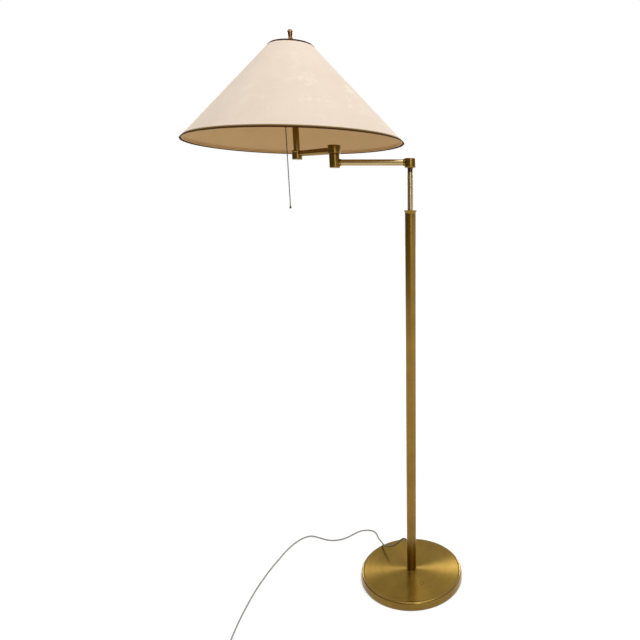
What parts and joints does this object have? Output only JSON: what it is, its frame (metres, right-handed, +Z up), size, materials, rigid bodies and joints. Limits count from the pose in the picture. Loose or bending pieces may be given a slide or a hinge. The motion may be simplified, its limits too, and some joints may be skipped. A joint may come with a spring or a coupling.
{
  "type": "floor lamp",
  "caption": "Bridge floor lamp: round weighted base, telescoping pole, two-piece swing arm that folds at an elbow, wide cone shade on a harp, pull chain and mains cord.",
  "frame": {"origin": "middle of the felt's underside, on the pole's axis", "axes": "+Z up along the pole, +X to the right and +Y away from the one who looks at it; the arms reach to -X and a little to +Y"},
  "size_m": [0.6598, 0.6545, 1.3712],
  "materials": {
    "aged_brass": "satin, antiqued",
    "base_brass": "brushed in circles, antiqued",
    "dark_brass": "dark, satin",
    "iron": "raw casting",
    "felt": "felt",
    "plated_steel": "zinc plated",
    "nylon": "moulded",
    "shade_paper": "laminated parchment, matt",
    "shade_binding": "dark braid",
    "bulb_white": "frosted inside",
    "screw_metal": "rolled",
    "card": "card tube",
    "phenolic": "moulded",
    "cord_jacket": "soft, grey",
    "plug_plastic": "moulded"
  },
  "bodies": {
    "stand": {"felt_pad": "felt", "base_weight": "iron", "base_cover": "base_brass", "base_washer": "plated_steel", "base_nut": "plated_steel", "base_pipe": "plated_steel", "pole_foot_plug": "plated_steel", "pole": "aged_brass", "pole_collar": "aged_brass", "guide_collet": "nylon", "cord_bushing": "plug_plastic", "cord": "cord_jacket", "cord_coil": "cord_jacket", "plug_body": "plug_plastic", "plug_blades": "screw_metal"},
    "mast": {"inner_rod": "aged_brass", "rod_guide": "nylon", "post_pivot": "dark_brass", "post_slip_washer": "nylon", "post_washer": "plated_steel", "post_nut": "plated_steel"},
    "arm_1": {"post_hub": "aged_brass", "post_hub_cap": "aged_brass", "arm_1_tube": "aged_brass", "elbow_lower_hub": "aged_brass", "elbow_slip_washer": "nylon", "elbow_pivot": "plated_steel", "elbow_washer": "plated_steel", "elbow_nut": "plated_steel"},
    "arm_2": {"elbow_upper_hub": "aged_brass", "elbow_cap": "aged_brass", "arm_2_tube": "aged_brass", "stem_hub": "aged_brass", "stem": "aged_brass", "socket_pipe": "plated_steel", "harp_saddle": "screw_metal", "socket_cap": "aged_brass", "socket_nut": "plated_steel", "socket_shell": "aged_brass", "socket_liner": "card", "socket_core": "phenolic", "screw_shell": "screw_metal", "bulb_cap": "screw_metal", "bulb_glass": "bulb_white", "harp": "aged_brass", "harp_sleeves": "aged_brass", "harp_stud": "aged_brass", "switch_mouth": "aged_brass", "shade": "shade_paper", "shade_foot_trim": "shade_binding", "shade_top_trim": "shade_binding", "shade_foot_ring": "screw_metal", "shade_spider": "aged_brass", "finial": "aged_brass"},
    "pull": {"pull_chain": "aged_brass", "chain_ball": "aged_brass"}
  },
  "joints": [
    {"name": "height_slide", "type": "slide", "parent": "stand", "child": "mast", "axis": [0, 0, 1], "range_m": [-0.075, 0.18]},
    {"name": "arm_1_swing", "type": "hinge", "parent": "mast", "child": "arm_1", "pos_m": [0, 0, 1.0846], "axis": [0, 0, 1], "range_deg": [-170, 170]},
    {"name": "arm_2_swing", "type": "hinge", "parent": "arm_1", "child": "arm_2", "pos_m": [-0.1693, 0.01303, 1.1035], "axis": [0, 0, 1], "range_deg": [-140, 195]},
    {"name": "pull_switch", "type": "slide", "parent": "arm_2", "child": "pull", "axis": [0, 0, -1], "range_m": [0, 0.008], "stiffness_N_per_m": 1000}
  ]
}
